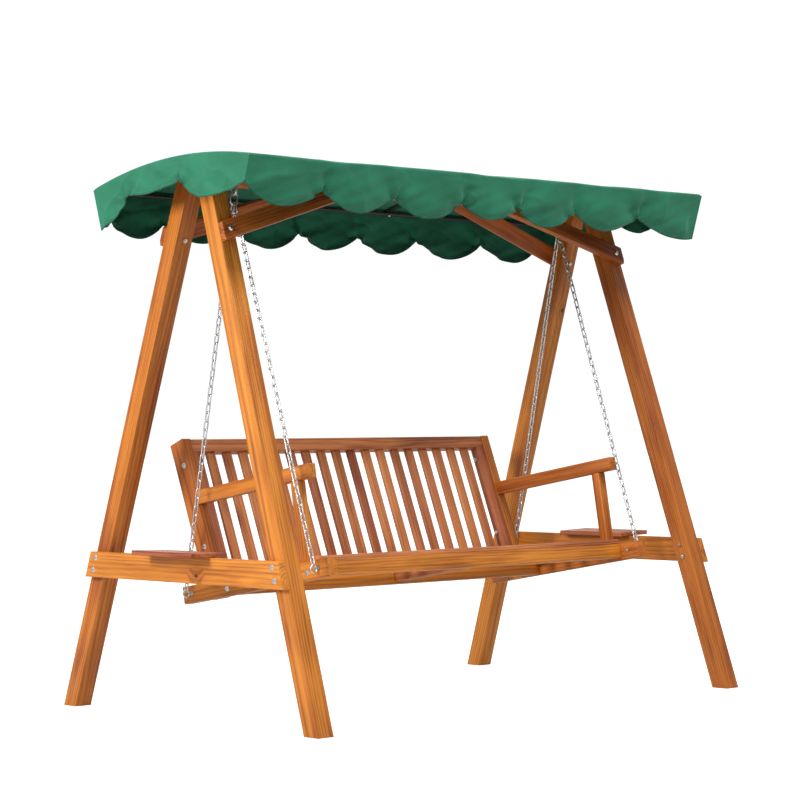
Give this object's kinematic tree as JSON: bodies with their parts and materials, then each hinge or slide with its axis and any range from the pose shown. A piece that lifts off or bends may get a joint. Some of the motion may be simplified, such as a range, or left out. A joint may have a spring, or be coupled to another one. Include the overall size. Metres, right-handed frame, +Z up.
{
  "type": "garden swing bench",
  "caption": "Timber A-frame garden swing: a slatted bench on chains swings under a scalloped arched cloth canopy.",
  "frame": {"origin": "on the floor, midway between the four feet", "axes": "+X along the beam to the sitter's left, as seen from the front to the right; -Y is the front, the way a sitter faces; +Z up"},
  "size_m": [1.9864, 1.2, 1.6519],
  "materials": {
    "frame_wood": "oiled orange-brown softwood",
    "slat_wood": "oiled, a little redder, with knots",
    "hardware": "zinc plated",
    "canopy_metal": "dark satin paint",
    "canopy_cloth": "green woven awning cloth with a dark binding"
  },
  "bodies": {
    "stand": {"leg_front_left": "frame_wood", "leg_back_left": "frame_wood", "leg_front_right": "frame_wood", "leg_back_right": "frame_wood", "side_rail_left": "frame_wood", "side_rail_right": "frame_wood", "side_tray_left": "slat_wood", "side_tray_right": "slat_wood", "top_beam": "frame_wood", "brace_front_left": "frame_wood", "brace_back_left": "frame_wood", "brace_front_right": "frame_wood", "brace_back_right": "frame_wood", "side_rail_bolts": "hardware", "brace_bolts": "hardware", "beam_bolts": "hardware", "beam_eye_bolts": "hardware", "canopy_ribs": "canopy_metal", "canopy_bar_front": "canopy_metal", "canopy_bar_back": "canopy_metal", "canopy_screws": "hardware", "canopy_top": "canopy_cloth", "valance_front": "canopy_cloth", "valance_back": "canopy_cloth", "valance_left": "canopy_cloth", "valance_right": "canopy_cloth"},
    "bench": {"seat_rail_left": "frame_wood", "seat_rail_right": "frame_wood", "seat_front_rail": "frame_wood", "seat_rear_rail": "frame_wood", "seat_middle_bearer": "slat_wood", "seat_cleats": "slat_wood", "seat_slats": "slat_wood", "upright_left": "frame_wood", "upright_right": "frame_wood", "back_top_rail": "slat_wood", "back_bottom_rail": "slat_wood", "back_stile_left": "slat_wood", "back_stile_right": "slat_wood", "back_slats": "slat_wood", "arm_post_left": "frame_wood", "arm_post_right": "frame_wood", "armrest_left": "frame_wood", "armrest_right": "frame_wood", "bench_bolts": "hardware", "seat_eye_bolts": "hardware", "hanger_links": "hardware", "chain_front_left": "hardware", "chain_rear_left": "hardware", "chain_front_right": "hardware", "chain_rear_right": "hardware"}
  },
  "joints": [
    {"name": "swing", "type": "hinge", "parent": "stand", "child": "bench", "pos_m": [0, 0, 1.572], "axis": [1, 0, 0], "range_deg": [-20, 20]}
  ]
}
